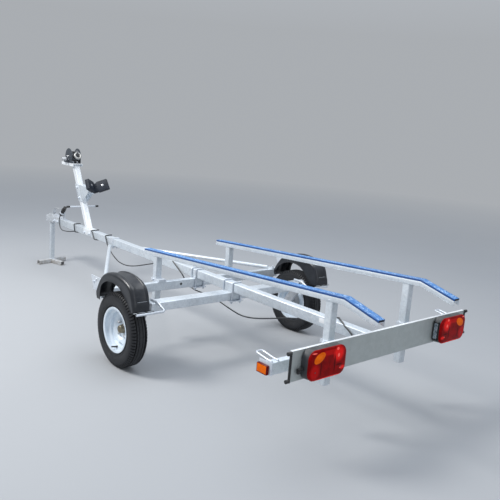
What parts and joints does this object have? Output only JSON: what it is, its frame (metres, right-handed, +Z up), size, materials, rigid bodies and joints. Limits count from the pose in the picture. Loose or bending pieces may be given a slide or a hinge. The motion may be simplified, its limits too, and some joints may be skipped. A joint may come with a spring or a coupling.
{
  "type": "boat trailer",
  "caption": "Small galvanised single-axle boat trailer with padded bunks, bow stop, hand winch, light board and a T-foot parking stand.",
  "frame": {"origin": "on the ground under the middle of the trailer's length, on its centre line", "axes": "+X forward to the coupling, +Y to the left, +Z up"},
  "size_m": [4.382, 1.624, 1.17],
  "materials": {
    "galvanised": "hot-dip galvanised, bright with faint spangle and dull streaks",
    "zinc_plate": "bright zinc-plated steel",
    "board_sheet": "dull grey galvanised sheet",
    "cast_zinc": "galvanised pressed and cast steel",
    "lever_steel": "zinc-plated strip",
    "hub_steel": "machined steel with a dull cap",
    "rim_silver": "silver wheel paint",
    "tyre": "matt black tread rubber, dusty",
    "guard_black": "black semi-gloss moulded plastic",
    "winch_grey": "dark grey plated steel",
    "gear_steel": "grey plated steel gear and drum",
    "webbing": "black woven webbing",
    "bow_rubber": "black moulded rubber",
    "black_plastic": "black moulded plastic",
    "cable_black": "black cable sheath",
    "pad_blue": "blue ribbed bunk pad",
    "lamp_red": "red ribbed lens",
    "lamp_amber": "amber lens",
    "marker_orange": "orange reflector lens"
  },
  "bodies": {
    "chassis": {"axle_crossbeam": "galvanised", "board_brackets": "galvanised", "board_clips": "black_plastic", "bow_backing": "galvanised", "bow_block": "bow_rubber", "bow_bracket": "galvanised", "brace_clamp": "zinc_plate", "brace_left": "galvanised", "brace_right": "galvanised", "bunk_pad_left": "pad_blue", "bunk_pad_right": "pad_blue", "bunk_posts_front": "galvanised", "bunk_posts_rear": "galvanised", "bunk_rail_left": "galvanised", "bunk_rail_right": "galvanised", "cable": "cable_black", "clamp_plates": "zinc_plate", "coupling": "cast_zinc", "coupling_lever": "lever_steel", "cross_handle": "galvanised", "front_crossbeam": "galvanised", "guard_stay_left": "galvanised", "guard_stay_right": "galvanised", "half_axle_left": "galvanised", "half_axle_right": "galvanised", "handle_caps": "black_plastic", "lamp_ambers": "lamp_amber", "lamp_bodies": "black_plastic", "lamp_lenses": "lamp_red", "lashing_loops": "zinc_plate", "light_board": "board_sheet", "marker_plates": "galvanised", "mudguard_left": "guard_black", "mudguard_right": "guard_black", "plug": "black_plastic", "plug_holder": "galvanised", "post_clamps_front": "zinc_plate", "post_clamps_rear": "zinc_plate", "rear_crossmember": "galvanised", "side_markers": "marker_orange", "spine": "galvanised", "strap_end": "webbing", "u_bolts": "zinc_plate", "winch_frame": "winch_grey", "winch_post": "galvanised", "winch_ring": "zinc_plate"},
    "wheel_left": {"hub_left": "hub_steel", "rim_left": "rim_silver", "tyre_left": "tyre"},
    "wheel_right": {"hub_right": "hub_steel", "rim_right": "rim_silver", "tyre_right": "tyre"},
    "drum": {"winch_drum": "gear_steel", "winch_strap": "webbing"},
    "crank": {"winch_crank": "zinc_plate"},
    "stand": {"stand_post": "galvanised", "stand_foot": "galvanised"}
  },
  "joints": [
    {"name": "wheel_left_spin", "type": "hinge", "parent": "chassis", "child": "wheel_left", "pos_m": [-0.631, 0.737, 0.23], "axis": [0, 1, 0], "continuous": true},
    {"name": "wheel_right_spin", "type": "hinge", "parent": "chassis", "child": "wheel_right", "pos_m": [-0.631, -0.737, 0.23], "axis": [0, 1, 0], "continuous": true},
    {"name": "drum_turn", "type": "hinge", "parent": "chassis", "child": "drum", "pos_m": [1.659, 0, 1.099], "axis": [0, 1, 0], "continuous": true},
    {"name": "crank_turn", "type": "hinge", "parent": "chassis", "child": "crank", "pos_m": [1.70987, 0, 1.067], "axis": [0, 1, 0], "continuous": true},
    {"name": "stand_swivel", "type": "hinge", "parent": "chassis", "child": "stand", "pos_m": [2.093, 0, 0.409], "axis": [0, 0, 1], "continuous": true}
  ],
  "couplings": [
    {"joint": "crank_turn", "follows": "drum_turn", "ratio": -3.8}
  ]
}
